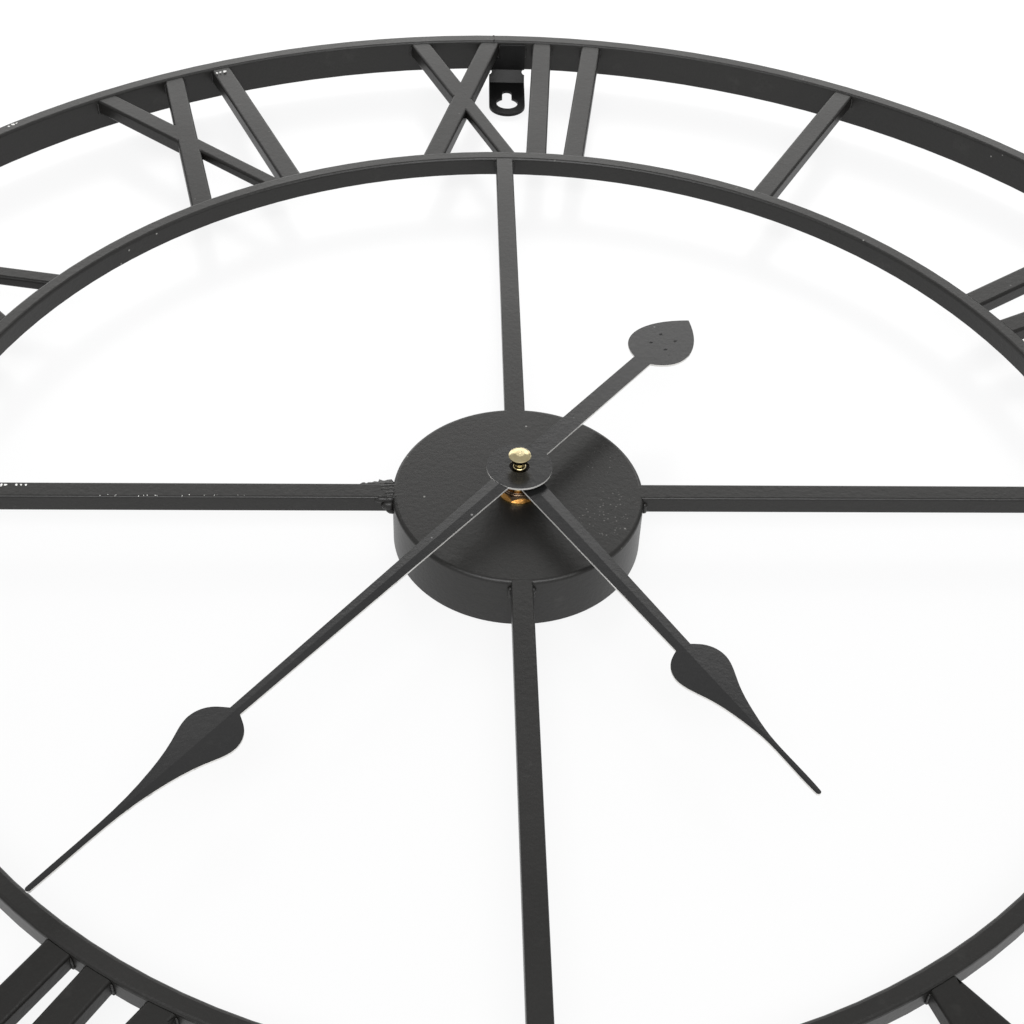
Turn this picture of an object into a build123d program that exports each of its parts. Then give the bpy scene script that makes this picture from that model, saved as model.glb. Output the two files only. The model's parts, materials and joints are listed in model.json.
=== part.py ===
"""Skeleton wall clock in welded steel flats with a battery movement.

Frame: +Z points at 12 o'clock, +X at 3 o'clock and -Y out of the wall into the room.
The wall plane is Y = 0. The origin is the seat of the wall screw in the hanger's keyhole slot.
Everything is drawn about the hand axis first and moved down to its place on export.
Depths are distances in front of the wall, so a depth d is at Y = -d.
"""
from build123d import *
from math import acos, atan2, cos, degrees, hypot, pi, radians, sin, sqrt, tan
import os

os.makedirs("parts", exist_ok=True)

# ---- driving dimensions, mm ----
FRONT = 19.0            # front plane of rings, spokes and hub, above the wall

OUTER_R = 300.0         # outer ring
OUTER_BAR = 6.2
OUTER_DEPTH = 13.8
INNER_R = 202.5         # inner ring
INNER_BAR = 5.8
INNER_DEPTH = 7.7
RING_EDGE = 1.1

HUB_R = 40.5            # pressed hub cup
HUB_SHEET = 1.0
HUB_EDGE = 1.3

SPOKE_W = 6.8           # four spokes
SPOKE_T = 6.4
SPOKE_LAG = 0.7         # degrees the spokes sit back from the numerals

BAR_W = 8.4             # numeral bars
BAR_T = 6.2
BAR_DROP = 0.6          # bars sit this far below the ring faces
BAR_EDGE = 0.8
NUMERAL_EDGE = 1.15
SLIM_W, SLIM_T = 6.4, 4.4   # the short lower half of an X
BAR_AIM = 296.0         # radius at which a bar's outer azimuth is read
SEAM = 0.02             # gap left at a welded joint
X_INNER_HALF = 4.3      # half spread of an X, degrees at the inner ring
X_OUTER_HALF = 3.15     # and at the outer ring
V_OUTER_HALF = 3.25

HANGER_W = 16.0         # hanger strap
HANGER_T = 1.2
HANGER_TIP = 261.5      # radius of the strap's rounded lower end
SEAT_R = 279.5          # radius of the screw seat, which is the row's origin
HEAD_R = 271.0          # radius of the keyhole's head hole
SLOT_HALF = 2.1
RELIEF_R, RELIEF_AT = 1.3, 292.5
HEAD_HALF = 4.8

SHEET = 0.7             # hands
CREASE = 0.07           # fall of a creased blade's face per mm off its ridge
HOUR_FACE = FRONT + 8.6
MINUTE_FACE = FRONT + 10.9
HOUR_REST = 147.9       # degrees clockwise from 12
MINUTE_REST = 218.5
HOUR_DISC = 8.0
MINUTE_DISC = 10.5
DISC_HOLE = 3.25
WEIGHT_T = 1.0

CASE_HALF = 28.0        # movement case
CASE_WALL = 1.2
CASE_CORNER = 4.0
CASE_FRONT = 17.2
CASE_SPLIT = 7.2
CASE_BACK = 1.2
BAY_TOP = -11.9         # top of the battery bay, from the hand axis
BATTERY_R = 7.1
BATTERY_Z = -19.35

RUN = 0.03              # radial clearance of a running fit
ARBOR_R = 1.6
TUBE_R = 2.5
BUSH_R = 3.95
POST_R = 0.45

# gear train: teeth and modules
CANNON, MOTION, MOTION_PINION, HOUR_TEETH = 12, 36, 10, 40
KNOB_TEETH = 15
CENTRE_TEETH, THIRD_PINION, THIRD_TEETH, SECONDS_PINION = 60, 8, 64, 8
SECONDS_TEETH, STEP_PINION, STEP_TEETH, ROTOR_PINION = 50, 10, 48, 8
HOUR_MODULE = 0.32
MOTION_MODULE = HOUR_MODULE * (MOTION_PINION + HOUR_TEETH) / (CANNON + MOTION)
CENTRE_MODULE = 0.3
THIRD_MODULE = CENTRE_MODULE * (CENTRE_TEETH + THIRD_PINION) / (THIRD_TEETH + SECONDS_PINION)
SECONDS_MODULE = 0.25
STEP_MODULE = 0.2

PRESSURE = radians(20)
PINION_TIP, PINION_ROOT = 1.0, 0.8
WHEEL_TIP, WHEEL_ROOT = 0.45, 1.3


# ---- helpers ----
def rod(radius, d0, d1, x=0.0, z=0.0):
    """Cylinder along Y between two depths."""
    return Pos(x, -(d0 + d1) / 2, z) * Rot(90, 0, 0) * Cylinder(radius, abs(d1 - d0))


def slab(x0, x1, z0, z1, d0, d1):
    """Box between two depths."""
    centre = Pos((x0 + x1) / 2, -(d0 + d1) / 2, (z0 + z1) / 2)
    return centre * Box(x1 - x0, d1 - d0, z1 - z0)


def plate(sketch, d0, d1):
    """Extrude a sketch drawn as seen from the front."""
    plane = Plane(origin=(0, -d0, 0), x_dir=(1, 0, 0), z_dir=(0, -1, 0))
    return extrude(plane * sketch, d1 - d0)


def lathe(profile, x=0.0, z=0.0):
    """Turn a closed (radius, depth) profile about the Y axis."""
    points = [(r, -d, 0) for r, d in profile]
    face = make_face(Polyline(*points, close=True))
    return Pos(x, 0, z) * revolve(face, Axis.Y, 360)


def polar(radius, clock_deg):
    """Point on the dial, with the angle taken clockwise from 12."""
    return radius * sin(radians(clock_deg)), radius * cos(radians(clock_deg))


def save(name, shape):
    export_step(Pos(0, 0, -SEAT_R) * shape, f"parts/{name}.step")


# ---- rings, spokes and hub ----
def ring(outer, inner, depth, edge):
    back = FRONT - depth
    profile = [
        (inner, back + 0.4),
        (inner + 0.4, back),
        (outer - 0.4, back),
        (outer, back + 0.4),
    ]
    # each front edge is rounded in three equal steps
    for corner, side, turns in ((outer, 1, (90, 60, 30, 0)), (inner, -1, (0, 30, 60, 90))):
        for turn in turns:
            lean = edge * (1 - sin(radians(turn)))
            profile.append((corner - side * lean, FRONT - edge * (1 - cos(radians(turn)))))
    return lathe(profile)


def hub_outside():
    body = rod(HUB_R, 0, FRONT)
    return fillet(body.edges().sort_by(Axis.Y)[0], HUB_EDGE)


def hub_cup():
    cavity = rod(HUB_R - HUB_SHEET, -1, FRONT - HUB_SHEET)
    cavity = fillet(cavity.edges().sort_by(Axis.Y)[0], HUB_EDGE - HUB_SHEET)
    return hub_outside() - cavity - rod(BUSH_R + 0.25, 0, FRONT + 1)


def spoke(clock_deg):
    start, end = HUB_R - 4, INNER_R - 2
    stock = Pos(0, SPOKE_T / 2 - FRONT, (start + end) / 2) * Box(SPOKE_W, SPOKE_T, end - start)
    stock = fillet(stock.edges().filter_by(Axis.Z), BAR_EDGE)
    stock = stock - offset(hub_outside(), SEAM)
    stock = stock & rod(INNER_R - INNER_BAR - SEAM, 0, FRONT)
    return Rot(0, clock_deg, 0) * stock


# ---- numerals ----
def flat_bar(inner_deg, outer_deg, width=BAR_W, depth=BAR_T, edge=NUMERAL_EDGE):
    """Straight bar between two azimuths, at the inner and the outer ring."""
    x0, z0 = polar(INNER_R, inner_deg)
    x1, z1 = polar(BAR_AIM, outer_deg)
    bar = Box(width, depth, hypot(x1 - x0, z1 - z0) + 12)
    if edge:
        bar = fillet(bar.edges().filter_by(Axis.Z), edge)
    tilt = degrees(atan2(x1 - x0, z1 - z0))
    return Pos((x0 + x1) / 2, depth / 2 + BAR_DROP - FRONT, (z0 + z1) / 2) * Rot(0, tilt, 0) * bar


def between_rings(bar):
    """Cut a bar to the curve of both rings."""
    return bar & (rod(OUTER_R - OUTER_BAR - SEAM, 0, FRONT) - rod(INNER_R + SEAM, -1, FRONT + 1))


def half_bar(line, whole_line, outer_side, **size):
    """The part of a crossing bar that lies on one side of the whole one."""
    rest = between_rings(flat_bar(*line, **size)) - flat_bar(*whole_line, edge=0)
    pieces = [s for s in rest.solids() if s.volume > 200]
    reach = [hypot(s.center().X, s.center().Z) for s in pieces]
    pick = max(reach) if outer_side else min(reach)
    return pieces[reach.index(pick)]


def glyph(kind, *at):
    """The bars of an I, a V or an X, with the second bar of a pair cut to the first."""
    if kind == "I":
        return between_rings(flat_bar(at[0], at[-1])).solids()
    centre = at[0]
    if kind == "V":
        first = (centre, centre + V_OUTER_HALF)
        second = (centre, centre - V_OUTER_HALF)
        return [between_rings(flat_bar(*first)).solid(), half_bar(second, first, True)]
    first = (centre - X_INNER_HALF, centre + X_OUTER_HALF)
    second = (centre + X_INNER_HALF, centre - X_OUTER_HALF)
    low = half_bar(second, first, False, width=SLIM_W, depth=SLIM_T)
    return [between_rings(flat_bar(*first)).solid(), half_bar(second, first, True), low]


NUMERALS = {
    "i": [("I", 29.9)],
    "ii": [("I", 57.95, 57.3), ("I", 63.1, 62.95)],
    "iii": [("I", 85.0), ("I", 90.0), ("I", 95.0)],
    "iiii": [("I", 113.4), ("I", 117.8), ("I", 122.2), ("I", 126.6)],
    "v": [("V", 149.5)],
    "vi": [("V", 177.0), ("I", 182.6)],
    "vii": [("V", 206.2), ("I", 211.6, 212.0), ("I", 215.3)],
    "viii": [("V", 232.6), ("I", 238.2), ("I", 242.4), ("I", 246.6)],
    "ix": [("I", 265.4), ("X", 272.6)],
    "x": [("X", 299.0)],
    "xi": [("X", 327.5), ("I", 334.2, 334.7)],
    "xii": [("X", 355.4), ("I", 3.05), ("I", 7.35)],
}


# ---- hanger ----
def hanger():
    """Strap welded inside the outer ring, bent back to the wall, with a keyhole."""
    top = OUTER_R - OUTER_BAR - SEAM
    half = HANGER_T / 2
    path = [(top - half, FRONT - 1.6), (top - half, 5.4), (289.2, half), (HANGER_TIP, half)]
    outline = offset(Polyline(*[(0, -d, r) for r, d in path]), half, kind=Kind.INTERSECTION, side=Side.BOTH)
    strap = extrude(make_face(outline), HANGER_W / 2, dir=(1, 0, 0), both=True)
    ends = plate(Pos(0, HANGER_TIP + HANGER_W / 2) * Circle(HANGER_W / 2), -1, 3)
    keep = ends + slab(-HANGER_W, HANGER_W, HANGER_TIP + HANGER_W / 2, OUTER_R, -1, FRONT)
    strap = strap & keep & rod(top, -1, FRONT)
    keyhole = rod(HEAD_HALF, -1, 3, 0, HEAD_R) + rod(SLOT_HALF, -1, 3, 0, SEAT_R)
    keyhole += slab(-SLOT_HALF, SLOT_HALF, HEAD_R, SEAT_R, -1, 3)
    # bend reliefs at both sides, and a corner cut away round the numeral's bar
    for side in (-1, 1):
        strap -= rod(RELIEF_R, -1, 5.6, side * HANGER_W / 2, RELIEF_AT)
    crossing = NUMERALS["xii"][0][1]
    strap -= flat_bar(crossing - X_INNER_HALF, crossing + X_OUTER_HALF, BAR_W + 1.2, BAR_T + 1, 0)
    return strap - keyhole


# ---- gears ----
def involute(angle):
    return tan(angle) - angle


def gear(teeth, module, phase, tip, root):
    """Toothed outline about the origin. One tooth points at phase, in radians."""
    pitch = module * teeth / 2
    base = pitch * cos(PRESSURE)
    outer = pitch + tip * module
    foot = pitch - root * module
    start = max(base, foot)
    radii = [start + (outer - start) * k / 4 for k in range(5)]
    half_at_pitch = (pi / 2 - 0.1) / teeth
    flank = [(foot, half_at_pitch + involute(PRESSURE))] if foot < base else []
    for r in radii:
        turn = involute(acos(min(1.0, base / r)))
        flank.append((r, half_at_pitch + involute(PRESSURE) - turn))
    points = []
    for k in range(teeth):
        centre = phase + 2 * pi * k / teeth
        points += [(r * cos(centre - a), r * sin(centre - a)) for r, a in flank]
        points += [(r * cos(centre + a), r * sin(centre + a)) for r, a in reversed(flank)]
    return make_face(Polyline(*points, close=True))


def meshing(phase, teeth, place, mate_teeth, mate_place):
    """Phase of the mate whose teeth fall in the gaps of the first gear."""
    line = atan2(mate_place[1] - place[1], mate_place[0] - place[0])
    past = (line - phase) * teeth / (2 * pi)
    return line + pi - (2 * pi / mate_teeth) * (0.5 - past)


def pinion(teeth, module, phase, d0, d1):
    return plate(gear(teeth, module, phase, PINION_TIP, PINION_ROOT), d0, d1)


def wheel(teeth, module, phase, d0, d1):
    """Wheel with four lightening holes."""
    blank = plate(gear(teeth, module, phase, WHEEL_TIP, WHEEL_ROOT), d0, d1)
    pitch = teeth * module / 2
    for k in range(4):
        x, z = polar(0.6 * pitch, 45 + 90 * k)
        blank -= rod(0.2 * pitch, d0 - 1, d1 + 1, x, z)
    return blank


def arm(place, distance, clock_deg):
    x, z = polar(distance, clock_deg)
    return place[0] + x, place[1] + z


CENTRE = (0.0, 0.0)
MOTION_AT = arm(CENTRE, HOUR_MODULE * (MOTION_PINION + HOUR_TEETH) / 2, 110)
KNOB_AT = arm(MOTION_AT, MOTION_MODULE * (MOTION + KNOB_TEETH) / 2, 100)
THIRD_AT = arm(CENTRE, CENTRE_MODULE * (CENTRE_TEETH + THIRD_PINION) / 2, 315)
STEP_AT = arm(CENTRE, SECONDS_MODULE * (SECONDS_TEETH + STEP_PINION) / 2, 45)
ROTOR_AT = arm(STEP_AT, STEP_MODULE * (STEP_TEETH + ROTOR_PINION) / 2, 65)


# ---- hands ----
def half_to_face(half):
    """Close a half outline, drawn on +X up the hand, with its mirror image."""
    return make_face(half + mirror(half, Plane.YZ))


def blade(root_half, neck_half, neck, back, widest, needle, end, end_half):
    """Arm and spade of a hand, pointing up, from the hand axis to the rounded tip."""
    half = Polyline((0, 0), (root_half, 0), (neck_half, neck))
    half += Spline((neck_half, neck), *back, widest, *needle, (end_half, end - end_half))
    half += RadiusArc((end_half, end - end_half), (0, end), -end_half)
    return half_to_face(half)


def creased(face, front):
    """Cut an outline from sheet folded along the hand's centre line."""
    reach = 30.0
    fall = CREASE * reach
    top = [(-reach, -front + fall), (0, -front), (reach, -front + fall)]
    bottom = [(x, y + SHEET) for x, y in reversed(top)]
    section = make_face(Polyline(*top, *bottom, close=True))
    fold = extrude(Plane.XY * section, 320)
    return plate(face, front - 4, front + 1) & fold


def minute_hand():
    spade = blade(
        3.3, 1.9, 127.4,
        [(3.1, 128.1), (5.6, 129.7), (7.9, 132.5)], (8.85, 136.0),
        [(6.4, 144.6), (3.3, 155.4), (1.6, 166.6), (1.1, 175.0), (0.95, 186.0)], 200.2, 0.85,
    )
    leaf = Polyline((0, 0), (3.3, 0), (3.3, -69.2))
    leaf += Spline((3.3, -69.2), (6.4, -70.9), (9.6, -74.4), (11.0, -79.6), (9.6, -86.2), (5.4, -92.8), (0, -98.0))
    back = MINUTE_FACE - SHEET
    disc = rod(MINUTE_DISC, back, MINUTE_FACE)
    hand = creased(spade, MINUTE_FACE) - rod(MINUTE_DISC, 0, MINUTE_FACE + 2)
    hand = hand + plate(half_to_face(leaf), back, MINUTE_FACE) + disc
    hand -= rod(DISC_HOLE, back - 2, MINUTE_FACE + 2)
    for x in (-3.0, 3.0):
        for z in (-85.0, -79.0):
            hand -= Pos(x, -MINUTE_FACE - 0.75, z) * Sphere(1.0)
    return hand


def hour_hand():
    spade = blade(
        3.8, 2.6, 86.5,
        [(3.7, 87.1), (5.9, 88.6), (7.9, 91.2)], (8.8, 94.9),
        [(7.6, 100.2), (5.3, 105.6), (2.3, 116.5), (1.1, 124.0), (0.85, 132.0)], 146.7, 0.8,
    )
    disc = rod(HOUR_DISC, HOUR_FACE - SHEET, HOUR_FACE)
    hand = creased(spade, HOUR_FACE) - rod(HOUR_DISC, 0, HOUR_FACE + 2)
    return hand + disc - rod(TUBE_R, HOUR_FACE - 3, HOUR_FACE + 2)


def turned(shape, clock_deg):
    return Rot(0, clock_deg, 0) * shape


# ---- build the frame ----
save("outer_ring", ring(OUTER_R, OUTER_R - OUTER_BAR, OUTER_DEPTH, RING_EDGE))
save("inner_ring", ring(INNER_R, INNER_R - INNER_BAR, INNER_DEPTH, RING_EDGE))
save("hub_cup", hub_cup())
for hour in (12, 3, 6, 9):
    save(f"spoke_{hour}", spoke(30 * hour - SPOKE_LAG))
for name, glyphs in NUMERALS.items():
    bars = [bar for mark in glyphs for bar in glyph(*mark)]
    save(f"numeral_{name}", Compound(children=bars))
save("hanger_strap", hanger())

# ---- build the movement's fixed parts ----
outline = RectangleRounded(2 * CASE_HALF, 2 * CASE_HALF, CASE_CORNER)
inner_half = CASE_HALF - CASE_WALL
room = RectangleRounded(2 * inner_half, 2 * inner_half, CASE_CORNER - CASE_WALL)
inside_front = CASE_FRONT - CASE_WALL
inside_back = CASE_BACK + CASE_WALL

case_front = plate(outline, CASE_SPLIT, CASE_FRONT) - plate(room, CASE_SPLIT - 1, inside_front)
partition = slab(-inner_half, inner_half, BAY_TOP, BAY_TOP + 1, CASE_SPLIT, inside_front)
case_front += partition
case_front += rod(0.6, inside_front - 4, inside_front, *MOTION_AT)
case_front -= rod(BUSH_R, 0, 20)
save("case_front", case_front)

posts = rod(POST_R, CASE_BACK + 0.5, 9.5, *CENTRE) + rod(POST_R, CASE_BACK + 0.5, 11.8, *THIRD_AT)
posts += rod(POST_R, CASE_BACK + 0.5, 6.8, *STEP_AT) + rod(0.3, CASE_BACK + 0.5, 9.3, *ROTOR_AT)
save("train_posts", posts)

knob_pocket = rod(5.9, 0, CASE_BACK + 2.0, *KNOB_AT)
case_back = plate(outline, CASE_BACK, CASE_SPLIT) - plate(room, inside_back, CASE_SPLIT + 1)
case_back += slab(-inner_half, inner_half, BAY_TOP, BAY_TOP + 1, CASE_BACK, CASE_SPLIT)
case_back -= slab(-inner_half + 0.6, inner_half - 0.6, -inner_half + 0.2, BAY_TOP, 0, inside_back)
case_back += rod(7.0, inside_back - 0.5, CASE_BACK + 3.2, *KNOB_AT)
coil_right, coil_left = (18.0, 21.5), (-8.0, 21.5)
for x, z in (coil_right, coil_left):
    case_back += rod(1.5, inside_back - 0.5, 7.1, x, z)
for x, z in ((-24.0, 10.0), (-14.0, 24.0)):
    case_back += rod(1.2, inside_back - 0.5, 3.0, x, z)
case_back = case_back - knob_pocket - rod(1.5 + RUN, 0, 8, *KNOB_AT) - posts
save("case_back", case_back)

thread = [(TUBE_R + RUN, 15.5), (5.5, 15.5), (5.5, inside_front), (BUSH_R, inside_front), (BUSH_R, FRONT + 3.6)]
for k in range(2):
    step = FRONT + 3.6 + 0.7 * k
    thread += [(BUSH_R - 0.35, step + 0.35), (BUSH_R, step + 0.7)]
thread += [(BUSH_R - 0.3, FRONT + 5.3), (TUBE_R + RUN, FRONT + 5.3)]
save("threaded_bush", lathe(thread))
save("gasket", rod(8.0, CASE_FRONT, FRONT - HUB_SHEET) - rod(BUSH_R + 0.15, 0, 30))
save("washer", rod(6.6, FRONT, FRONT + 0.6) - rod(BUSH_R + 0.15, 0, 30))

nut = plate(RegularPolygon(5.6, 6, major_radius=False, rotation=8), FRONT + 0.6, FRONT + 3.4)
chamfer_cone = lathe([(0, FRONT), (6.6, FRONT), (6.6, FRONT + 2.9), (5.3, FRONT + 3.4), (0, FRONT + 3.4)])
save("mounting_nut", (nut & chamfer_cone) - rod(BUSH_R, 0, 30))


def strap(p, q, width):
    """Flat link with round ends."""
    along = degrees(atan2(q[1] - p[1], q[0] - p[0]))
    span = hypot(q[0] - p[0], q[1] - p[1])
    bar = Pos((p[0] + q[0]) / 2, (p[1] + q[1]) / 2) * Rot(0, 0, along) * Rectangle(span, width)
    return bar + Pos(*p) * Circle(width / 2) + Pos(*q) * Circle(width / 2)


corner = (coil_left[0], 13.0)
iron = Pos(*ROTOR_AT) * Circle(5.4)
iron += strap(ROTOR_AT, coil_right, 4.6)
iron += strap(ROTOR_AT, corner, 4.6)
iron += strap(corner, coil_left, 4.6)
iron -= Pos(*ROTOR_AT) * Circle(3.6)
save("stator", plate(iron, 7.1, 7.9))

core = slab(coil_left[0] - 1.5, coil_right[0] + 1.5, 20.2, 22.8, 7.9, 8.9)
save("coil_core", core)
spool_at = Pos(3.25, -8.4, 21.5) * Rot(0, 90, 0)
spool = Cylinder(1.9, 16.5) + Pos(0, 0, 7.75) * Cylinder(3.6, 1) + Pos(0, 0, -7.75) * Cylinder(3.6, 1)
save("coil_bobbin", spool_at * spool - core)
save("coil_winding", spool_at * (Cylinder(3.3, 14.5) - Cylinder(1.9, 20)))

board = slab(-25.6, -12.0, 8.0, 24.5, 3.0, 3.8)
board += Pos(-19, -3.8, 20) * Sphere(2.2) & slab(-25, -12, 8, 24, 3.8, 5)
save("circuit_board", board)
save("quartz_can", Pos(-16, -4.8, 12.5) * Cylinder(1.0, 6.0))

cell = Pos(-0.6, -8.7, BATTERY_Z) * Rot(0, 90, 0) * Cylinder(BATTERY_R, 48.8)
cell = fillet(cell.edges(), 0.8)
cell += Pos(24.4, -8.7, BATTERY_Z) * Rot(0, 90, 0) * Cylinder(2.6, 1.2)
save("aa_battery", cell)
for name, side in (("contact_positive", 1), ("contact_negative", -1)):
    leaf = slab(25.9, 26.3, BATTERY_Z - 4.5, BATTERY_Z + 4.5, 4.2, 13.2)
    leaf += Pos(25.5, -8.7, BATTERY_Z) * Rot(0, 90, 0) * Cone(1.5, 3.4, 0.8)
    save(name, leaf if side > 0 else Rot(0, 0, 180) * Pos(0, 17.4, 0) * leaf)

# ---- build the moving parts ----
phase_cannon = 0.0
phase_motion = meshing(phase_cannon, CANNON, CENTRE, MOTION, MOTION_AT)
phase_knob = meshing(phase_motion, MOTION, MOTION_AT, KNOB_TEETH, KNOB_AT)
phase_hour = meshing(0.0, MOTION_PINION, MOTION_AT, HOUR_TEETH, CENTRE)
phase_third_pinion = meshing(0.0, CENTRE_TEETH, CENTRE, THIRD_PINION, THIRD_AT)
phase_seconds_pinion = meshing(0.0, THIRD_TEETH, THIRD_AT, SECONDS_PINION, CENTRE)
phase_step_pinion = meshing(0.0, SECONDS_TEETH, CENTRE, STEP_PINION, STEP_AT)
phase_rotor = meshing(0.0, STEP_TEETH, STEP_AT, ROTOR_PINION, ROTOR_AT)

# minute arbor: cannon pinion, shaft through the hour tube and a threaded end for the cap
back = MINUTE_FACE - SHEET
arbor = rod(ARBOR_R, 9.9, back) + rod(1.2, back, back + 2.4)
arbor += pinion(CANNON, MOTION_MODULE, phase_cannon, 12.2, 13.8)
save("minute_arbor", arbor)
centre = wheel(CENTRE_TEETH, CENTRE_MODULE, 0.0, 10.4, 11.2) + rod(2.6, 10.1, 11.6)
save("centre_wheel", centre - rod(ARBOR_R, 0, 30))

save("minute_hand", turned(minute_hand(), MINUTE_REST))
collar = [(ARBOR_R, back - 0.7), (4.6, back - 0.7), (4.6, back), (DISC_HOLE, back)]
collar += [(DISC_HOLE, back + 0.3), (2.6, back + 0.3), (2.6, back), (ARBOR_R, back)]
save("minute_collar", lathe(collar))
weight = plate(Pos(0, -82) * RectangleRounded(12, 12, 3), back - WEIGHT_T, back)
save("counterweight", turned(weight, MINUTE_REST))

top = FRONT + 16.4
cap = [(1.2, back), (1.9, back), (1.9, top - 4.4), (2.1, top - 3.9), (3.35, top - 1.55)]
cap += [(3.6, top - 1.1), (3.6, top - 0.9), (3.4, top - 0.6), (2.7, top - 0.24), (1.4, top - 0.05)]
cap += [(0, top), (0, back + 2.4), (1.2, back + 2.4)]
save("cap_nut", lathe(cap))

# hour works: hour wheel with its tube, the hand and a push-on collet behind it
hour_wheel = wheel(HOUR_TEETH, HOUR_MODULE, phase_hour, 14.4, 15.2) + rod(TUBE_R, 14.4, FRONT + 9.1)
save("hour_wheel", hour_wheel - rod(ARBOR_R + RUN, 0, 40))
save("hour_hand", turned(hour_hand(), HOUR_REST))
save("hour_collet", rod(4.0, FRONT + 5.9, HOUR_FACE - SHEET) - rod(TUBE_R, 0, 40))

# motion work and setting knob
motion = wheel(MOTION, MOTION_MODULE, phase_motion, 12.6, 13.4)
motion += pinion(MOTION_PINION, HOUR_MODULE, 0.0, 13.4, 15.6)
save("motion_wheel", Pos(MOTION_AT[0], 0, MOTION_AT[1]) * (motion - rod(0.6 + RUN, 0, 30)))

knob = rod(5.2, CASE_BACK + 0.2, CASE_BACK + 1.7) + rod(1.5, CASE_BACK + 1.7, 12.4)
knob += pinion(KNOB_TEETH, MOTION_MODULE, phase_knob, 12.4, 13.6)
for k in range(18):
    x, z = polar(5.35, 20 * k)
    knob -= rod(0.4, 0, CASE_BACK + 1.7, x, z)
save("setting_knob", Pos(KNOB_AT[0], 0, KNOB_AT[1]) * knob)

# going train
third = wheel(THIRD_TEETH, THIRD_MODULE, 0.0, 8.2, 9.0)
third += rod(1.1, 9.0, 10.0) + pinion(THIRD_PINION, CENTRE_MODULE, phase_third_pinion, 10.0, 11.6)
save("third_wheel", Pos(THIRD_AT[0], 0, THIRD_AT[1]) * (third - rod(POST_R + RUN, 0, 30)))

seconds = wheel(SECONDS_TEETH, SECONDS_MODULE, 0.0, 5.9, 6.5) + rod(1.0, 6.5, 7.8)
seconds += pinion(SECONDS_PINION, THIRD_MODULE, phase_seconds_pinion, 7.8, 9.3)
save("seconds_wheel", seconds - rod(POST_R + RUN, 0, 30))

step = wheel(STEP_TEETH, STEP_MODULE, 0.0, 4.2, 4.8) + rod(1.0, 4.8, 5.5)
step += pinion(STEP_PINION, SECONDS_MODULE, phase_step_pinion, 5.5, 6.7)
save("step_wheel", Pos(STEP_AT[0], 0, STEP_AT[1]) * (step - rod(POST_R + RUN, 0, 30)))

pivot = rod(0.3 + RUN, 0, 30)
rotor_pinion = pinion(ROTOR_PINION, STEP_MODULE, phase_rotor, 3.8, 5.2) + rod(0.9, 5.2, 6.0)
save("rotor_pinion", Pos(ROTOR_AT[0], 0, ROTOR_AT[1]) * (rotor_pinion - pivot))
save("rotor_magnet", Pos(ROTOR_AT[0], 0, ROTOR_AT[1]) * (rod(3.0, 6.0, 9.0) - pivot))
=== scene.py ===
"""Looks of the skeleton wall clock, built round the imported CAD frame."""
import json
import math
import random

import bmesh
import bpy
from mathutils import Matrix, Vector, noise


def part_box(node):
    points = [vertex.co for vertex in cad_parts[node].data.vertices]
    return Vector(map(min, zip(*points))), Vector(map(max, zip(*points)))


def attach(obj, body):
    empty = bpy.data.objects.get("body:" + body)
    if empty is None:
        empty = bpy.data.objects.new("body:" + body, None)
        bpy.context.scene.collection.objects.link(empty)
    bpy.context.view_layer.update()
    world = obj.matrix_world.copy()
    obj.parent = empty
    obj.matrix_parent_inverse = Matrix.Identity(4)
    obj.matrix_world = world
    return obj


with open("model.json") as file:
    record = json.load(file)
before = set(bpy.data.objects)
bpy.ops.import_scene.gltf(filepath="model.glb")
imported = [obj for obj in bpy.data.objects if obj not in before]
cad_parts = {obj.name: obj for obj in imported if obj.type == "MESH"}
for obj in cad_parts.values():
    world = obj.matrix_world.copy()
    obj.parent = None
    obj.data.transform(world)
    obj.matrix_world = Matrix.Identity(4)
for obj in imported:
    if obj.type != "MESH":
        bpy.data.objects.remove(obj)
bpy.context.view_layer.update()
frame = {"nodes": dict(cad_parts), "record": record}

NODES = frame["nodes"]
RNG = random.Random(12)                    # drawn on by the weld beads, then by the flecks

ring_low, ring_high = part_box("outer_ring")
AXIS_X = (ring_low.x + ring_high.x) / 2
AXIS_Z = (ring_low.z + ring_high.z) / 2
FRONT_Y = ring_low.y                       # front plane of the rings
OUTER_RIM = ring_high.x - AXIS_X           # outer radius of the outer ring
FRAME_GLOSS, NUMERAL_GLOSS = 0.39, 0.30    # specular levels of the black coat


# ---- camera ----
def make_camera():
    """View from below and in front, looking up at the hub."""
    data = bpy.data.cameras.new("camera")
    cam = bpy.data.objects.new("camera", data)
    bpy.context.scene.collection.objects.link(cam)
    data.sensor_width = 36.0
    data.lens = 57.25
    data.clip_start = 0.01
    data.clip_end = 100
    # the camera's right and up axes in the row's frame, and its place about the hub's front centre
    right = Vector((0.999447, -0.030250, -0.013879))
    up = Vector((-0.011912, -0.714548, 0.699485))
    right.normalize()
    up = (up - right * up.dot(right)).normalized()
    turn = Matrix((right, up, right.cross(up))).transposed()
    place = Vector((AXIS_X - 0.018322, FRONT_Y - 0.362120, AXIS_Z - 0.380038))
    cam.matrix_world = Matrix.Translation(place) @ turn.to_4x4()
    bpy.context.scene.camera = cam


make_camera()


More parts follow.
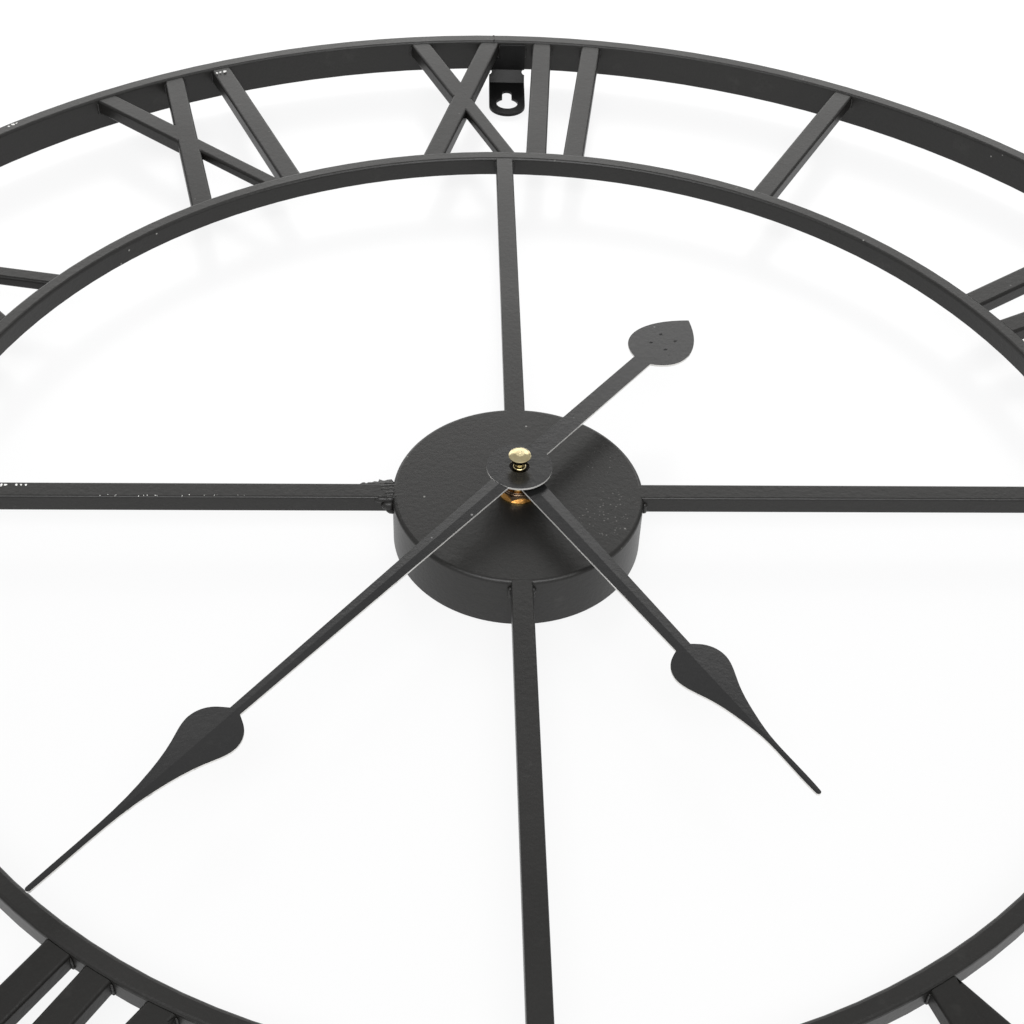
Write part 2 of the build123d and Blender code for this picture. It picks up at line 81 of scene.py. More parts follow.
# ---- node helpers ----
class Nodes:
    """Short calls for building one material's nodes."""

    def __init__(self, name):
        self.material = bpy.data.materials.new(name)
        self.material.use_nodes = True
        self.tree = self.material.node_tree
        self.tree.nodes.clear()
        self.out = self.add("ShaderNodeOutputMaterial")
        self.coords = self.add("ShaderNodeTexCoord").outputs["Object"]
        self.geometry = self.add("ShaderNodeNewGeometry")

    def add(self, kind, **inputs):
        """New node, with the named inputs set or linked."""
        node = self.tree.nodes.new(kind)
        for key, value in inputs.items():
            self.put(node.inputs[key.replace("_", " ")], value)
        return node

    def put(self, socket, value):
        """Link another node's output to an input, or set the input to a constant."""
        if isinstance(value, bpy.types.NodeSocket):
            self.tree.links.new(value, socket)
        elif isinstance(value, (tuple, list)) and len(value) == 3 and len(socket.default_value) == 4:
            socket.default_value = (*value, 1.0)
        else:
            socket.default_value = value

    def math(self, kind, a, b=0.0, clamp=False):
        """Arithmetic on one or two values."""
        node = self.tree.nodes.new("ShaderNodeMath")
        node.operation = kind
        node.use_clamp = clamp
        self.put(node.inputs[0], a)
        self.put(node.inputs[1], b)
        return node.outputs[0]

    def noise(self, scale, detail=2.0, roughness=0.5):
        """Smooth noise from 0 to 1, with scale in cycles per metre."""
        node = self.add("ShaderNodeTexNoise")
        node.inputs["Scale"].default_value = scale
        node.inputs["Detail"].default_value = detail
        node.inputs["Roughness"].default_value = roughness
        self.tree.links.new(self.coords, node.inputs["Vector"])
        return node.outputs["Fac"]

    def cells(self, scale):
        """Voronoi node, which gives a distance and a random colour per cell."""
        node = self.add("ShaderNodeTexVoronoi")
        node.inputs["Scale"].default_value = scale
        self.tree.links.new(self.coords, node.inputs["Vector"])
        return node

    def ramp(self, value, low, high, to_low=0.0, to_high=1.0):
        """Clamped linear map from low..high to to_low..to_high."""
        node = self.add("ShaderNodeMapRange")
        self.put(node.inputs["Value"], value)
        limits = {"From Min": low, "From Max": high, "To Min": to_low, "To Max": to_high}
        for key, number in limits.items():
            node.inputs[key].default_value = number
        return node.outputs["Result"]

    def mix(self, factor, a, b):
        """Colour a at factor 0, b at factor 1."""
        node = self.tree.nodes.new("ShaderNodeMix")
        node.data_type = "RGBA"
        self.put(node.inputs[0], factor)
        self.put(node.inputs[6], a)
        self.put(node.inputs[7], b)
        return node.outputs[2]

    def bump(self, height, strength, distance):
        """Normal from a height, with distance in metres."""
        node = self.add("ShaderNodeBump")
        node.inputs["Strength"].default_value = strength
        node.inputs["Distance"].default_value = distance
        self.put(node.inputs["Height"], height)
        return node.outputs["Normal"]

    def axes(self, vector=None):
        """Separate X, Y and Z of a vector, or of the object's own coordinates."""
        node = self.add("ShaderNodeSeparateXYZ")
        self.put(node.inputs[0], vector or self.coords)
        return node.outputs

    def principled(self, color, roughness, normal, metallic=0.0, **others):
        """Finish the material with one Principled shader, and return it."""
        node = self.add("ShaderNodeBsdfPrincipled")
        self.put(node.inputs["Base Color"], color)
        self.put(node.inputs["Roughness"], roughness)
        self.put(node.inputs["Metallic"], metallic)
        self.put(node.inputs["Normal"], normal)
        for key, value in others.items():
            self.put(node.inputs[key.replace("_", " ")], value)
        self.tree.links.new(node.outputs[0], self.out.inputs["Surface"])
        return self.material


def specks(n, scale, size, share):
    """Mask of small round specks, thinned so that only a share of the cells hold one."""
    cell = n.cells(scale)
    dot = n.ramp(cell.outputs["Distance"], size, size * 0.5)
    split = n.add("ShaderNodeSeparateColor")
    n.put(split.inputs[0], cell.outputs["Color"])
    chosen = n.math("LESS_THAN", split.outputs[0], share)
    patch = n.ramp(n.noise(22.0, 2.0), 0.42, 0.62)
    return n.math("MULTIPLY", n.math("MULTIPLY", dot, chosen), patch, clamp=True)


def painted(name, dark, light, dust, rough, dust_share, peel=0.22):
    """Powder coat with mottling, orange peel, specks of dust and faint scuffs."""
    n = Nodes(name)
    broad = n.ramp(n.noise(14.0, 3.0), 0.3, 0.7)
    fine = n.ramp(n.noise(900.0, 2.0, 0.7), 0.3, 0.7)
    tone = n.math("ADD", n.math("MULTIPLY", broad, 0.6), n.math("MULTIPLY", fine, 0.4))
    color = n.mix(tone, dark, light)
    mask = specks(n, 330.0, 0.16, dust_share)
    color = n.mix(n.math("MULTIPLY", mask, 0.75), color, dust)
    scuff = n.ramp(n.noise(60.0, 4.0, 0.75), 0.60, 0.72)
    color = n.mix(n.math("MULTIPLY", scuff, 0.02), color, dust)
    grit = n.noise(1500.0, 2.0, 0.6)
    height = n.math("ADD", n.noise(520.0, 3.0, 0.6), n.math("MULTIPLY", grit, 0.35))
    height = n.math("ADD", height, n.math("MULTIPLY", mask, 0.8))
    normal = n.bump(height, peel, 0.0004)
    gloss_drift = n.ramp(broad, 0, 1, rough - 0.05, rough + 0.06)
    roughness = n.math("ADD", gloss_drift, n.math("MULTIPLY", mask, 0.3))
    return n, color, roughness, normal


def near(n, place, reach):
    """Distance from a point on the front of the clock, as a share of the reach."""
    offset = n.tree.nodes.new("ShaderNodeVectorMath")
    offset.operation = "DISTANCE"
    n.put(offset.inputs[0], n.coords)
    offset.inputs[1].default_value = place
    return n.math("DIVIDE", offset.outputs["Value"], reach)


def on_dial(radius, clock_deg):
    """Point on the front plane, with the angle clockwise from 12."""
    turn = math.radians(clock_deg)
    return (AXIS_X + radius * math.sin(turn), FRONT_Y, AXIS_Z + radius * math.cos(turn))


def charcoal(name, gloss):
    """Coat of the frame, with light dust on the hub."""
    n, color, rough, normal = painted(
        name, (0.0058, 0.0055, 0.0049), (0.0090, 0.0086, 0.0078),
        (0.30, 0.295, 0.28), rough=0.40, dust_share=0.05)
    # light dust settled on the right-hand half of the hub
    cell = n.cells(820.0)
    dot = n.ramp(cell.outputs["Distance"], 0.28, 0.12)
    split = n.add("ShaderNodeSeparateColor")
    n.put(split.inputs[0], cell.outputs["Color"])
    low_patch = near(n, (AXIS_X + 0.029, FRONT_Y, AXIS_Z - 0.010), 0.017)
    high_patch = near(n, (AXIS_X + 0.027, FRONT_Y, AXIS_Z + 0.013), 0.016)
    falloff = n.math(
        "MAXIMUM", n.ramp(low_patch, 0.2, 1.0, 0.95, 0.0), n.ramp(high_patch, 0.2, 1.0, 0.50, 0.0))
    clumps = n.ramp(n.noise(230.0, 3.0, 0.6), 0.36, 0.60)
    chosen = n.math("LESS_THAN", split.outputs[1], n.math("MULTIPLY", falloff, clumps))
    dust = n.math("MULTIPLY", dot, chosen)
    color = n.mix(n.math("MULTIPLY", dust, 0.6), color, (0.15, 0.147, 0.14))
    rough = n.math("ADD", rough, n.math("MULTIPLY", dust, 0.3))
    return n.principled(color, rough, normal, Specular_IOR_Level=gloss)


def primer():
    """White undercoat bared where the black is knocked off."""
    n = Nodes("white_primer")
    grain = n.noise(2400.0, 2.0, 0.6)
    color = n.mix(n.ramp(grain, 0.35, 0.65), (0.80, 0.80, 0.78), (0.62, 0.62, 0.60))
    return n.principled(color, n.ramp(grain, 0.3, 0.7, 0.6, 0.75), n.bump(grain, 0.3, 0.0001))


def strap_black():
    """Deep black coat of the hanger."""
    n, color, rough, normal = painted(
        "strap_black", (0.0030, 0.0030, 0.0030), (0.0060, 0.0060, 0.0060),
        (0.2, 0.2, 0.2), rough=0.36, dust_share=0.03)
    return n.principled(color, rough, normal, Specular_IOR_Level=0.16)


def hand_paint():
    """Painted sheet whose sheared edges are bare and bright."""
    n, color, rough, normal = painted(
        "hand_paint", (0.0085, 0.0085, 0.0087), (0.0125, 0.0125, 0.0127),
        (0.34, 0.34, 0.335), rough=0.24, dust_share=0.05, peel=0.14)
    facing = n.axes(n.geometry.outputs["True Normal"])["Y"]
    edge = n.math("LESS_THAN", n.math("ABSOLUTE", facing), 0.45)
    wear = n.ramp(n.noise(260.0, 3.0, 0.7), 0.22, 0.40, 0.35, 1.0)
    bare = n.math("MULTIPLY", edge, wear)
    color = n.mix(bare, color, (0.66, 0.65, 0.63))
    metal = n.math("MULTIPLY", bare, 0.35)
    return n.principled(color, rough, normal, metallic=metal, Specular_IOR_Level=0.40)


def turned_metal(name, base, tint, rough, rings, stain=None, pitch=0.00015, depth=0.00005):
    """Turned or plated metal with circular tool marks about the hand axis, at the given pitch."""
    n = Nodes(name)
    place = n.axes()
    dx = n.math("SUBTRACT", place["X"], AXIS_X)
    dz = n.math("SUBTRACT", place["Z"], AXIS_Z)
    radius = n.math("SQRT", n.math("ADD", n.math("MULTIPLY", dx, dx), n.math("MULTIPLY", dz, dz)))
    groove = n.math("SINE", n.math("MULTIPLY", radius, 2 * math.pi / pitch))
    mottle = n.noise(700.0, 3.0, 0.6)
    color = n.mix(n.ramp(mottle, 0.35, 0.65), base, tint)
    if stain is not None:
        color = n.mix(n.ramp(n.noise(420.0, 4.0, 0.7), 0.50, 0.66, 0.0, 0.12), color, stain)
    height = n.math("ADD", n.math("MULTIPLY", groove, rings), n.math("MULTIPLY", mottle, 0.2))
    normal = n.bump(height, 0.18, depth)
    roughness = n.ramp(mottle, 0.3, 0.7, rough * 0.8, rough * 1.25)
    return n.principled(color, roughness, normal, metallic=1.0)


def plastic(name, base, tint, rough, grain, sub=0.0):
    """Moulded plastic or rubber with a fine grain."""
    n = Nodes(name)
    color = n.mix(n.ramp(n.noise(35.0, 3.0), 0.35, 0.65), base, tint)
    height = n.math("ADD", n.noise(2600.0, 2.0, 0.6), n.math("MULTIPLY", n.noise(300.0), 0.3))
    normal = n.bump(height, grain, 0.0001)
    roughness = n.ramp(n.noise(90.0, 3.0), 0.3, 0.7, rough - 0.05, rough + 0.07)
    return n.principled(color, roughness, normal, Subsurface_Weight=sub, Subsurface_Scale=0.002)


def winding():
    """Rows of enamelled wire round the coil."""
    n = Nodes("copper_wire")
    wire_pitch = 0.00018
    wave = n.math("SINE", n.math("MULTIPLY", n.axes()["X"], 2 * math.pi / wire_pitch))
    color = n.mix(n.ramp(wave, -1, 1), (0.20, 0.055, 0.02), (0.62, 0.24, 0.09))
    normal = n.bump(wave, 0.5, 0.00008)
    return n.principled(color, n.ramp(n.noise(300.0), 0.3, 0.7, 0.22, 0.34), normal, metallic=0.85)


def board():
    """Green solder mask with faint copper tracks."""
    n = Nodes("board_green")
    cell = n.cells(420.0)
    cell.distance = "MANHATTAN"
    track = n.ramp(cell.outputs["Distance"], 0.34, 0.38)
    color = n.mix(n.math("MULTIPLY", track, 0.5), (0.012, 0.085, 0.035), (0.04, 0.20, 0.09))
    normal = n.bump(track, 0.3, 0.00005)
    return n.principled(color, n.ramp(n.noise(200.0), 0.3, 0.7, 0.22, 0.34), normal)


def cell_jacket():
    """Plain wrapped cell: a dark sleeve with a coppery end band, no print."""
    n = Nodes("battery_jacket")
    low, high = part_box("aa_battery")
    along = n.axes()["X"]
    cap_length = 0.0013
    band = n.math("GREATER_THAN", along, low.x + 0.72 * (high.x - low.x))
    color = n.mix(band, (0.016, 0.018, 0.024), (0.50, 0.26, 0.10))
    end = n.math("GREATER_THAN", along, high.x - cap_length)
    color = n.mix(end, color, (0.65, 0.64, 0.62))
    wrinkle = n.noise(160.0, 3.0, 0.6)
    normal = n.bump(wrinkle, 0.12, 0.0003)
    metal = n.math("MULTIPLY", n.math("MAXIMUM", band, end), 0.8)
    return n.principled(color, n.ramp(wrinkle, 0.3, 0.7, 0.20, 0.32), normal, metallic=metal)


MATERIALS = {
    "charcoal_steel": charcoal("charcoal_coat", FRAME_GLOSS),
    "black_strap": strap_black(),
    "hand_steel": hand_paint(),
    "polished_brass": turned_metal(
        "polished_brass", (0.56, 0.49, 0.30), (0.50, 0.42, 0.24), 0.10, 0.25),
    "brass": turned_metal("brass", (0.86, 0.62, 0.26), (0.72, 0.47, 0.16), 0.22, 0.8),
    "copper_brass": turned_metal(
        "copper_brass", (0.50, 0.36, 0.25), (0.38, 0.27, 0.18), 0.20, 0.9,
        stain=(0.26, 0.14, 0.07), pitch=0.0009, depth=0.00008),
    # near-black base on the collars under the cap and hands: painted dark reflection and painted shade,
    # standing in for polished brass that mirrors the dark hand disc and hub
    "dark_brass": turned_metal(
        "dark_brass", (0.0065, 0.0052, 0.0045), (0.0035, 0.0030, 0.0028), 0.20, 0.8),
    "nickel": turned_metal("nickel", (0.66, 0.64, 0.60), (0.52, 0.50, 0.47), 0.24, 0.4),
    "soft_iron": turned_metal("soft_iron", (0.36, 0.36, 0.37), (0.26, 0.26, 0.27), 0.42, 0.2),
    "magnet": turned_metal("magnet", (0.09, 0.09, 0.10), (0.06, 0.06, 0.065), 0.5, 0.2),
    "black_plastic": plastic(
        "black_plastic", (0.014, 0.014, 0.015), (0.022, 0.022, 0.023), 0.46, 0.45),
    "white_plastic": plastic(
        "white_plastic", (0.80, 0.77, 0.70), (0.72, 0.69, 0.62), 0.36, 0.12, sub=0.15),
    "rubber": plastic("rubber", (0.012, 0.012, 0.012), (0.020, 0.020, 0.020), 0.66, 0.5),
    "board_green": board(),
    "copper_wire": winding(),
    "battery_jacket": cell_jacket(),
}
NUMERAL_COAT = charcoal("numeral_coat", NUMERAL_GLOSS)    # the same coat, a little less glossy


# ---- CAD nodes: each gets its slot's material, and the numerals their own gloss ----
for row in frame["record"]["subparts"]:
    slots = NODES[row["node"]].data.materials
    slots.clear()
    is_numeral = row["node"].startswith("numeral_")
    slots.append(NUMERAL_COAT if is_numeral else MATERIALS[row["material_slot"]])


# ---- weld beads, found from the bars' own ends ----
ROUND_SIDES = 10                           # facets round a bead or a turned ridge
BAR_EDGE = 0.00115                         # rounding of a bar's edge, filled flush at a ground joint
# radii of the side and back beads, where each kind of part meets a ring
NUMERAL_RIM_BEADS = (0.00055, 0.00085)
NUMERAL_STEP_BEADS = (0.0005, 0.0008)
SPOKE_RING_BEADS = (0.0006, 0.0009)
STRAP_BEADS = (0.0006, 0.0003)
# side bead, back bead and lumpiness where a spoke meets the hub
PLAIN_HUB_JOINT = (0.0008, 0.0010, 0.35)
HEAVY_HUB_JOINTS = {"spoke_9": (0.0016, 0.0018, 0.6), "spoke_3": (0.0010, 0.0013, 0.45)}
STRAP_BEND = -0.006                        # the strap's upright part is in front of this depth


def loose_parts(node_object):
    """World positions of the corners of each separate bar in a node.

    Bars and corners come in the mesh's own order, so the beads' random draws
    fall on the same bars in every run.
    """
    bm = bmesh.new()
    bm.from_mesh(node_object.data)
    bmesh.ops.remove_doubles(bm, verts=bm.verts, dist=1e-6)
    bm.verts.index_update()
    seen = set()
    parts = []
    for first in bm.verts:
        if first.index in seen:
            continue
        seen.add(first.index)
        queue, part = [first], []
        while queue:
            vert = queue.pop()
            part.append(node_object.matrix_world @ vert.co)
            for edge in vert.link_edges:
                other = edge.other_vert(vert)
                if other.index not in seen:
                    seen.add(other.index)
                    queue.append(other)
        parts.append(part)
    bm.free()
    return parts


def radius_of(point):
    """Distance from the hand axis."""
    return math.hypot(point.x - AXIS_X, point.z - AXIS_Z)


def add_piece(name, bm, material, body, smooth=False):
    """Turn a bmesh into a named piece that rides a body."""
    bmesh.ops.recalc_face_normals(bm, faces=bm.faces)
    mesh = bpy.data.meshes.new(name)
    bm.to_mesh(mesh)
    bm.free()
    for polygon in mesh.polygons:
        polygon.use_smooth = smooth
    mesh.materials.append(material)
    piece = bpy.data.objects.new(name, mesh)
    bpy.context.scene.collection.objects.link(piece)
    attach(piece, body)


def skin(bm, first, second):
    """Band of faces between two closed loops of as many corners."""
    count = len(first)
    for j in range(count):
        other = (j + 1) % count
        bm.faces.new((first[j], first[other], second[other], second[j]))


def add_bead(bm, start, end, radius, lumps=0.35, shake=1.0):
    """Lumpy run of weld metal between two points."""
    along = end - start
    count = max(4, int(along.length / (radius * 0.45)))
    side = along.orthogonal().normalized()
    up = along.normalized().cross(side)
    rings = []
    for k in range(count + 1):
        share = k / count
        centre = start + along * share
        swell = noise.noise(centre * 900.0) * lumps + RNG.uniform(-0.08, 0.08) * shake
        taper = math.sqrt(max(0.02, 1 - (2 * share - 1) ** 6))
        size = radius * (1 + swell) * taper
        jog = Vector((RNG.uniform(-1, 1), RNG.uniform(-1, 1), RNG.uniform(-1, 1)))
        centre = centre + jog * radius * 0.10 * shake
        loop = []
        for j in range(ROUND_SIDES):
            turn = 2 * math.pi * j / ROUND_SIDES
            loop.append(bm.verts.new(centre + (side * math.cos(turn) + up * math.sin(turn)) * size))
        rings.append(loop)
    for first, second in zip(rings, rings[1:]):
        skin(bm, first, second)
    bm.faces.new(list(reversed(rings[0])))
    bm.faces.new(rings[-1])


def weld_end(bm, part, ring_radius, side_bead, back_bead, lumps=0.35, front_gap=0.0012):
    """Beads down both sides and across the back of one bar's end on a ring."""
    reach = 0.0006                        # corners this near the ring belong to the joint
    close = [p for p in part if abs(radius_of(p) - ring_radius) < reach]
    if len(close) < 4:
        return
    middle = sum(close, Vector()) / len(close)
    outward = Vector((middle.x - AXIS_X, 0, middle.z - AXIS_Z)).normalized()
    across = Vector((outward.z, 0, -outward.x))
    spread = [(p - middle).dot(across) for p in close]
    left, right = min(spread), max(spread)
    front, back = min(p.y for p in close), max(p.y for p in close)
    inward = -1 if ring_radius > radius_of(sum(part, Vector()) / len(part)) else 1
    base = Vector((AXIS_X, 0, AXIS_Z)) + outward * (ring_radius + inward * side_bead * 0.25)
    shift = (middle - Vector((AXIS_X, 0, AXIS_Z))).dot(across)
    for edge, sign in ((left, -1), (right, 1)):
        foot = base + across * (shift + edge + sign * side_bead * 0.2)
        add_bead(bm, foot + Vector((0, front + front_gap, 0)), foot + Vector((0, back, 0)), side_bead, lumps)
    foot = base + across * shift
    low, inset = Vector((0, back + back_bead * 0.1, 0)), 0.0004
    first, last = foot + across * (left + inset) + low, foot + across * (right - inset) + low
    add_bead(bm, first, last, back_bead, lumps)


def rough_weld(bm, hub):
    """Spilled weld over the front and both sides of the 9 spoke where it meets the hub."""
    low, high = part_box("spoke_9")
    middle = (low.z + high.z) / 2 + 0.0008    # height of the spoke's middle at the hub
    half = 0.0034                         # half the spoke's width
    edge, sunk = AXIS_X - hub, 0.0010     # each run starts this far inside the hub
    runs = (                              # offset up, depth, length and radius of each run
        (half + 0.0004, 0.0014, 0.0125, 0.0014),
        (half + 0.0012, 0.0026, 0.0090, 0.0022),
        (half + 0.0024, 0.0034, 0.0056, 0.0025),
        (half - 0.0010, 0.0006, 0.0050, 0.0010),
        (-half + 0.0004, 0.0010, 0.0060, 0.0012),
        (-half - 0.0006, 0.0026, 0.0036, 0.0018),
        (0.0008, 0.0005, 0.0042, 0.0010),
        (-0.0012, 0.0006, 0.0030, 0.0011),
    )
    for dz, dy, reach, radius in runs:
        start = Vector((edge + sunk, FRONT_Y + dy, middle + dz))
        end = start + Vector((-reach - sunk, 0.0004, -dz * 0.12))
        add_bead(bm, start, end, radius, lumps=0.30, shake=0.25)


def long_side(whole):
    """Middle of a bar, and unit directions along it and across it."""
    centre = sum(whole, Vector()) / len(whole)
    spread = [(p.x - centre.x, p.z - centre.z) for p in whole]
    lean = math.atan2(2 * sum(x * z for x, z in spread), sum(x * x - z * z for x, z in spread)) / 2
    run = Vector((math.cos(lean), 0, math.sin(lean)))
    across = Vector((run.z, 0, -run.x))
    ends = []
    for way in (-1, 1):
        ahead = [p for p in whole if (p - centre).dot(run) * way > 0]
        ends.append(max(ahead, key=lambda p: p.dot(across)))
    run = Vector((ends[1].x - ends[0].x, 0, ends[1].z - ends[0].z)).normalized()
    return centre, run, Vector((run.z, 0, -run.x))


def add_fill(bm, base, run, across, along, out, front):
    """Flush block over a joint, flared toward its back. along and out are its limits."""
    sunk = 0.00002                        # the fill stays this far behind the front plane
    corners = []
    for depth, grow in ((front + sunk, 0.0), (front + BAR_EDGE, BAR_EDGE)):
        start, end = along[0] - grow, along[1] + grow
        for x, z in ((start, out[0]), (end, out[0]), (end, out[1]), (start, out[1])):
            point = base + run * x + across * z
            corners.append(bm.verts.new((point.x, depth, point.z)))
    for face in ((0, 1, 2, 3), (7, 6, 5, 4), (0, 4, 5, 1), (1, 5, 6, 2), (2, 6, 7, 3), (3, 7, 4, 0)):
        bm.faces.new([corners[k] for k in face])


def ground_joints(bm, parts):
    """Flush fill where the cut bar of an X or a V meets the side of the whole one."""
    overlap = 0.0002                      # how far the fill runs past the joint
    snug, shallow = 0.00004, 0.0001       # a touching corner is this near the side and the front
    for whole in parts:
        centre, run, across = long_side(whole)
        front = min(p.y for p in whole)
        base = centre - run * centre.dot(run)
        base.y = 0
        for other in parts:
            if other is whole:
                continue
            for side in (-1, 1):
                half = max((p - centre).dot(across) * side for p in whole)
                touch = [
                    p for p in other
                    if abs((p - centre).dot(across) * side - half) < snug and p.y < front + shallow
                ]
                if len(touch) < 4:
                    continue
                along = min(p.dot(run) for p in touch), max(p.dot(run) for p in touch)
                add_fill(bm, base, run, across * side, along, (half - BAR_EDGE, half + overlap), front)


def ring_radii(name):
    """Smallest and largest distance of a ring's corners from the hand axis."""
    ring = NODES[name]
    radii = [radius_of(ring.matrix_world @ v.co) for v in ring.data.vertices]
    return min(radii), max(radii)


def make_welds():
    """Beads at every bar's end, and the ground joints of the numerals."""
    rim = ring_radii("outer_ring")[0]
    inside, step = ring_radii("inner_ring")
    hub_low, hub_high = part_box("hub_cup")
    hub = (hub_high.x - hub_low.x) / 2
    bm, pads = bmesh.new(), bmesh.new()
    for name, node_object in NODES.items():
        if name.startswith("numeral_"):
            parts = loose_parts(node_object)
            ground_joints(pads, parts)
            for part in parts:
                weld_end(bm, part, rim, *NUMERAL_RIM_BEADS)
                weld_end(bm, part, step, *NUMERAL_STEP_BEADS)
        elif name.startswith("spoke_"):
            for part in loose_parts(node_object):
                weld_end(bm, part, inside, *SPOKE_RING_BEADS)
                side, back, lumps = HEAVY_HUB_JOINTS.get(name, PLAIN_HUB_JOINT)
                weld_end(bm, part, hub, side, back, lumps, front_gap=0.0018)
                if name == "spoke_9":
                    rough_weld(bm, hub)
        elif name == "hanger_strap":
            for part in loose_parts(node_object):
                weld_end(bm, [p for p in part if p.y < STRAP_BEND], rim, *STRAP_BEADS)
    # the outer ring's own butt joint, beside 12
    joint_deg, sunk = -1.2, Vector((0, 0.00028, 0))
    start = Vector(on_dial(OUTER_RIM - 0.0003, joint_deg)) + sunk
    end = Vector(on_dial(rim + 0.0002, joint_deg)) + sunk
    add_bead(bm, start, end, 0.00050, lumps=0.5)
    add_piece("weld_beads", bm, MATERIALS["charcoal_steel"], "clock_frame", smooth=True)
    add_piece("ground_joints", pads, NUMERAL_COAT, "clock_frame")


make_welds()


# ---- turned ridges on the brass ----
RIDGE_STEPS = 64                           # facets along a turned ridge


def turned_rings(name, slot, body, profile):
    """Half-round ridges about the hand axis, from (radius, depth, size) of each."""
    bm = bmesh.new()
    for radius, depth, size in profile:
        loops = []
        for k in range(RIDGE_STEPS):
            turn = 2 * math.pi * k / RIDGE_STEPS
            loop = []
            for j in range(ROUND_SIDES):
                bend = 2 * math.pi * j / ROUND_SIDES
                reach = radius + size * math.cos(bend)
                x, z = AXIS_X + reach * math.cos(turn), AXIS_Z + reach * math.sin(turn)
                loop.append(bm.verts.new((x, depth + size * math.sin(bend), z)))
            loops.append(loop)
        for k in range(RIDGE_STEPS):
            skin(bm, loops[k], loops[(k + 1) % RIDGE_STEPS])
    add_piece(name, bm, MATERIALS[slot], body, smooth=True)


nut_low, nut_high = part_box("mounting_nut")
nut_reach = (nut_high.x - nut_low.x) / 2
turned_rings("nut_ridges", "copper_brass", "clock_frame", (
    (nut_reach * 0.90, nut_low.y + 0.00006, 0.00018), (nut_reach * 0.79, nut_low.y, 0.00022)))
cap_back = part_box("cap_nut")[1].y
turned_rings("cap_skirt", "polished_brass", "minute_works", (
    (0.00185, cap_back - 0.00065, 0.00030),))


# ---- flecks of white primer where the coat is knocked off ----
def spoke_point(radius, clock_deg, side):
    """Point on a spoke's front edge, with side measured across it from its middle."""
    x, y, z = on_dial(radius, clock_deg)
    turn = math.radians(clock_deg)
    return (x + side * math.cos(turn), y, z - side * math.sin(turn))


def fleck_places():
    """Centre and half size of every fleck."""
    nine = -90.7                          # azimuth of the spoke toward 9
    half = 0.0029                         # from a spoke's middle to where its edge starts to turn
    bar_top, bar_deg = OUTER_RIM - 0.0100, -25.5    # top of XI's single bar
    ring_edge = OUTER_RIM - 0.0022        # just inside the outer ring's rounded edge
    flecks = []
    for side, size in ((-0.0021, 0.00075), (-0.0006, 0.00060), (0.0014, 0.00095)):
        flecks.append((spoke_point(bar_top, bar_deg, side), size))
    for clock_deg, size in ((-44.0, 0.00060), (-43.6, 0.00095), (-43.3, 0.00060)):
        flecks.append((on_dial(ring_edge, clock_deg), size))
    upper_edge = (
        (0.1575, 0.00055), (0.1590, 0.00045), (0.1604, 0.00060), (0.1640, 0.00065),
        (0.1652, 0.00080), (0.1668, 0.00060), (0.1683, 0.00050),
    )
    for radius, size in upper_edge:
        flecks.append((spoke_point(radius, nine, half - 0.0010), size))
    # clusters along the lower edge: where each starts, how many flecks, and how far it runs
    clusters = (
        (0.0870, 2, 0.004), (0.0955, 4, 0.005), (0.1040, 3, 0.004),
        (0.1150, 5, 0.007), (0.1275, 4, 0.006),
    )
    for start, count, spread in clusters:
        for _ in range(count):
            radius = start + RNG.uniform(0, spread)
            side = -half + RNG.uniform(-0.0002, 0.0005)
            flecks.append((spoke_point(radius, nine, side), RNG.uniform(0.00010, 0.00022)))
    return flecks


def make_flecks():
    """Thin ragged flakes, a little proud of the front plane."""
    sides = 9                             # corners of each flake
    behind, proud = 0.00012, 0.00003      # a flake's foot behind the front plane, its rim before it
    bm = bmesh.new()
    for (x, _, z), size in fleck_places():
        tilt = RNG.uniform(0, math.pi)
        rim = []
        for k in range(sides):
            turn = 2 * math.pi * k / sides
            reach = size * RNG.uniform(0.62, 1.15)
            dx, dz = reach * math.cos(turn), 0.7 * reach * math.sin(turn)
            turned = (dx * math.cos(tilt) - dz * math.sin(tilt), dx * math.sin(tilt) + dz * math.cos(tilt))
            rim.append((x + turned[0], z + turned[1]))
        back = [bm.verts.new((u, FRONT_Y + behind, v)) for u, v in rim]
        front = [bm.verts.new((u, FRONT_Y - proud, v)) for u, v in rim]
        top = bm.verts.new((x, FRONT_Y - 2 * proud, z))
        bm.faces.new(back)
        for k in range(sides):
            other = (k + 1) % sides
            bm.faces.new((front[k], front[other], back[other], back[k]))
            bm.faces.new((front[other], front[k], top))
    add_piece("primer_flecks", bm, primer(), "clock_frame")


make_flecks()


# ---- stage: a pale glossy wall seen from the front, open from behind ----
WALL_GAP = 0.0008                          # from the clock's back plane to the wall
FLOOR_DROP = 1.6                           # from the hand axis to the floor
WALL_GLOW, ROOM_GLOW = 0.88, 0.62          # radiance of the wall and of the room round it


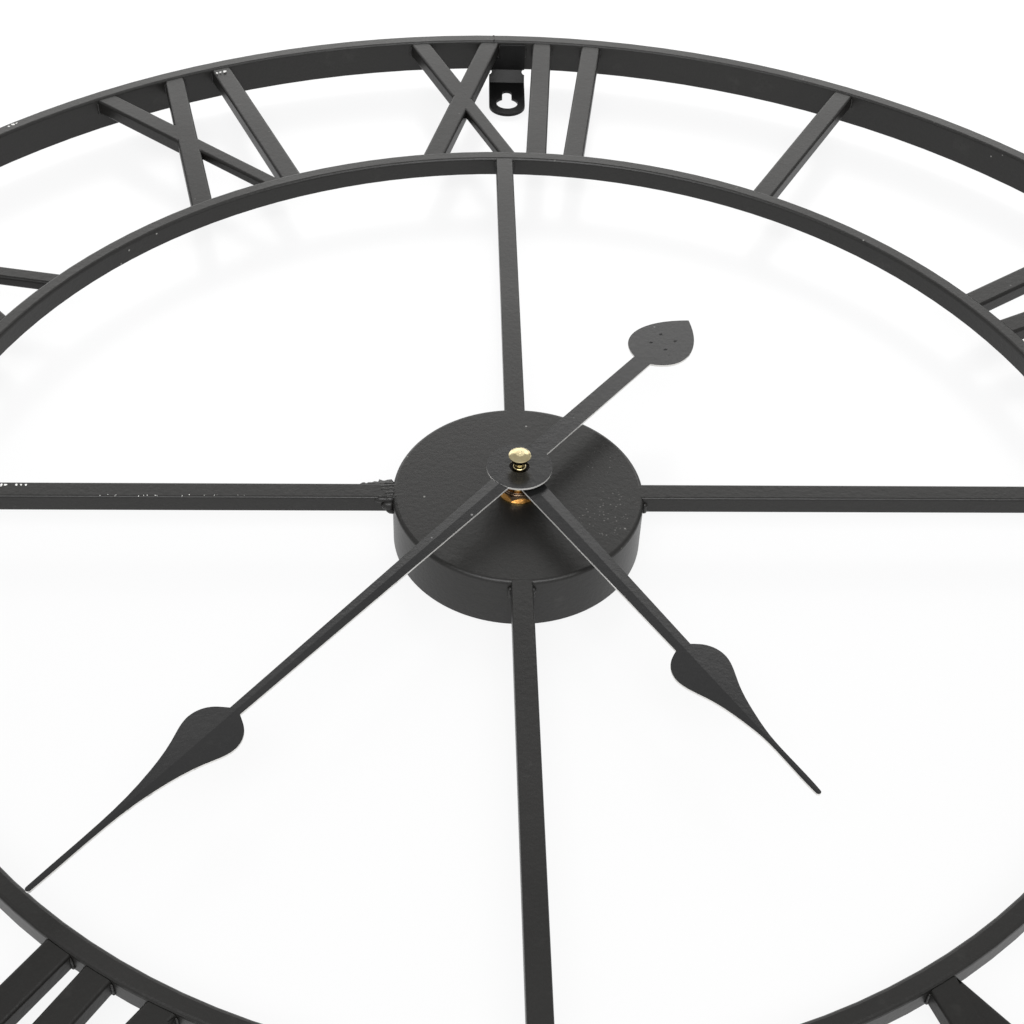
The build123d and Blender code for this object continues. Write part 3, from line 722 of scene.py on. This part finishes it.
def make_stage():
    """Pale wall just behind the clock, and a floor well below it."""
    bpy.ops.mesh.primitive_plane_add(
        size=9.0, location=(AXIS_X, WALL_GAP, AXIS_Z), rotation=(math.radians(90), 0, 0))
    wall = bpy.context.object
    wall.name = "stage_wall"
    n = Nodes("stage_wall")
    tint = n.mix(n.ramp(n.noise(1.5, 2.0), 0.3, 0.7), (0.965, 0.965, 0.968), (0.985, 0.985, 0.985))
    white = n.add("ShaderNodeBsdfPrincipled")
    n.put(white.inputs["Base Color"], (0.08, 0.08, 0.08))
    n.put(white.inputs["Emission Color"], tint)
    white.inputs["Emission Strength"].default_value = WALL_GLOW
    white.inputs["Roughness"].default_value = 0.26
    white.inputs["Specular IOR Level"].default_value = 0.24
    clear = n.add("ShaderNodeBsdfTransparent")
    pick = n.add("ShaderNodeMixShader")
    n.put(pick.inputs[0], n.geometry.outputs["Backfacing"])
    n.tree.links.new(white.outputs[0], pick.inputs[1])
    n.tree.links.new(clear.outputs[0], pick.inputs[2])
    n.tree.links.new(pick.outputs[0], n.out.inputs["Surface"])
    wall.data.materials.append(n.material)

    bpy.ops.mesh.primitive_plane_add(size=14.0, location=(AXIS_X, 0, AXIS_Z - FLOOR_DROP))
    floor = bpy.context.object
    floor.name = "stage_floor"
    n = Nodes("stage_floor")
    tint = n.mix(n.ramp(n.noise(0.8, 3.0), 0.3, 0.7), (0.80, 0.80, 0.80), (0.84, 0.84, 0.84))
    floor.data.materials.append(n.principled(tint, 0.5, n.bump(n.noise(60.0, 3.0), 0.1, 0.002)))


make_stage()


def area_light(name, place, target, size, radiance, color=(1, 1, 1)):
    """Soft box of the given radiance, aimed at the target."""
    data = bpy.data.lights.new(name, "AREA")
    data.shape = "RECTANGLE"
    data.size, data.size_y = size
    data.energy = radiance * math.pi * size[0] * size[1]
    data.color = color
    light = bpy.data.objects.new(name, data)
    light.location = place
    light.rotation_euler = (Vector(target) - Vector(place)).to_track_quat("-Z", "Y").to_euler()
    light.visible_camera = False
    bpy.context.scene.collection.objects.link(light)


centre = (AXIS_X, FRONT_Y, AXIS_Z)
area_light(
    "key", (AXIS_X - 0.08, -0.92, AXIS_Z + 2.10), centre,
    size=(2.8, 1.55), radiance=1.76, color=(1.0, 0.99, 0.97))
area_light(
    "front", (AXIS_X, -1.35, AXIS_Z - 0.90), centre,
    size=(1.7, 0.70), radiance=6.8)

world = bpy.data.worlds.new("world")
bpy.context.scene.world = world
world.use_nodes = True
backdrop = world.node_tree.nodes["Background"].inputs
backdrop["Color"].default_value = (1.0, 1.0, 1.0, 1.0)
backdrop["Strength"].default_value = ROOM_GLOW
bpy.context.scene.view_settings.view_transform = "Standard"
